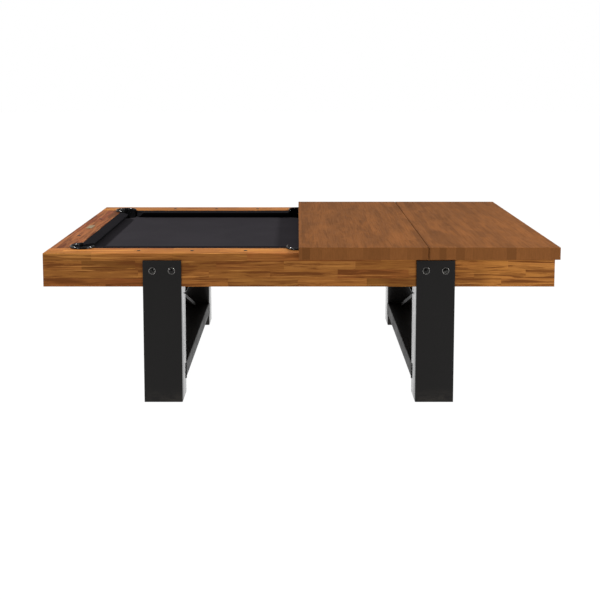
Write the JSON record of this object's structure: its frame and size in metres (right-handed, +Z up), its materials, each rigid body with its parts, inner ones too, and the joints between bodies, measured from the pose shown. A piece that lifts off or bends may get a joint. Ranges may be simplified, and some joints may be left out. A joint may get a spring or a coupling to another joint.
{
  "type": "pool table",
  "caption": "Pool table with cushioned hardwood rails, drop pockets and black steel leg frames; two lift-off wooden dining panels cover its right half.",
  "frame": {"origin": "on the floor, under the middle of the whole table's bounding box; the middle of the bed is 11 mm to the left of it, because the dining top overhangs only the right end", "axes": "+X along the table towards the covered end, +Y from the front long side to the rear one, +Z up"},
  "size_m": [2.663, 1.568, 0.822],
  "materials": {
    "acacia": "acacia butcher block, satin lacquer",
    "walnut_stain": "brown stained hardwood planks, satin lacquer",
    "cushion_cloth": "charcoal billiard cloth over rubber",
    "bed_cloth": "charcoal billiard cloth",
    "slate": "honed slate",
    "frame_timber": "plain sawn softwood",
    "black_steel": "satin black powder coat",
    "pocket_plastic": "gloss black moulding",
    "bolt_steel": "black fastener",
    "brass": "satin, blank",
    "felt": "black furniture felt"
  },
  "bodies": {
    "table": {"apron_front": "acacia", "apron_left": "acacia", "apron_rear": "acacia", "apron_right": "acacia", "bed_cloth": "bed_cloth", "bolster_left": "frame_timber", "bolster_right": "frame_timber", "cross_member_left": "frame_timber", "cross_member_middle": "frame_timber", "cross_member_right": "frame_timber", "cushion_front_left": "cushion_cloth", "cushion_front_right": "cushion_cloth", "cushion_left": "cushion_cloth", "cushion_rear_left": "cushion_cloth", "cushion_rear_right": "cushion_cloth", "cushion_right": "cushion_cloth", "frame_beam_front": "frame_timber", "frame_beam_rear": "frame_timber", "leg_bolt_front_left_1": "bolt_steel", "leg_bolt_front_left_2": "bolt_steel", "leg_bolt_front_right_1": "bolt_steel", "leg_bolt_front_right_2": "bolt_steel", "leg_bolt_rear_left_1": "bolt_steel", "leg_bolt_rear_left_2": "bolt_steel", "leg_bolt_rear_right_1": "bolt_steel", "leg_bolt_rear_right_2": "bolt_steel", "leg_brace_falling_left": "black_steel", "leg_brace_falling_right": "black_steel", "leg_brace_rising_left": "black_steel", "leg_brace_rising_right": "black_steel", "leg_lower_beam_left": "black_steel", "leg_lower_beam_right": "black_steel", "leg_post_front_left": "black_steel", "leg_post_front_right": "black_steel", "leg_post_rear_left": "black_steel", "leg_post_rear_right": "black_steel", "leg_top_channel_left": "black_steel", "leg_top_channel_right": "black_steel", "nameplate": "brass", "pocket_front_left": "pocket_plastic", "pocket_front_right": "pocket_plastic", "pocket_rear_left": "pocket_plastic", "pocket_rear_right": "pocket_plastic", "pocket_side_front": "pocket_plastic", "pocket_side_rear": "pocket_plastic", "rail_front": "acacia", "rail_left": "acacia", "rail_rear": "acacia", "rail_right": "acacia", "slate_left": "slate", "slate_middle": "slate", "slate_right": "slate"},
    "dining_panel_middle": {"dining_panel_middle": "walnut_stain", "panel_felt_middle": "felt"},
    "dining_panel_end": {"dining_panel_end": "walnut_stain", "panel_felt_end": "felt"},
    "leveller_front_left": {"leveller_front_left": "bolt_steel"},
    "leveller_front_right": {"leveller_front_right": "bolt_steel"},
    "leveller_rear_left": {"leveller_rear_left": "bolt_steel"},
    "leveller_rear_right": {"leveller_rear_right": "bolt_steel"}
  },
  "joints": [
    {"name": "dining_panel_middle_lift", "type": "slide", "parent": "table", "child": "dining_panel_middle", "axis": [0, 0, 1], "range_m": [0, 0.25]},
    {"name": "dining_panel_end_lift", "type": "slide", "parent": "table", "child": "dining_panel_end", "axis": [0, 0, 1], "range_m": [0, 0.25]},
    {"name": "leveller_front_left_travel", "type": "slide", "parent": "table", "child": "leveller_front_left", "axis": [0, 0, -1], "range_m": [0, 0.02]},
    {"name": "leveller_front_right_travel", "type": "slide", "parent": "table", "child": "leveller_front_right", "axis": [0, 0, -1], "range_m": [0, 0.02]},
    {"name": "leveller_rear_left_travel", "type": "slide", "parent": "table", "child": "leveller_rear_left", "axis": [0, 0, -1], "range_m": [0, 0.02]},
    {"name": "leveller_rear_right_travel", "type": "slide", "parent": "table", "child": "leveller_rear_right", "axis": [0, 0, -1], "range_m": [0, 0.02]}
  ]
}
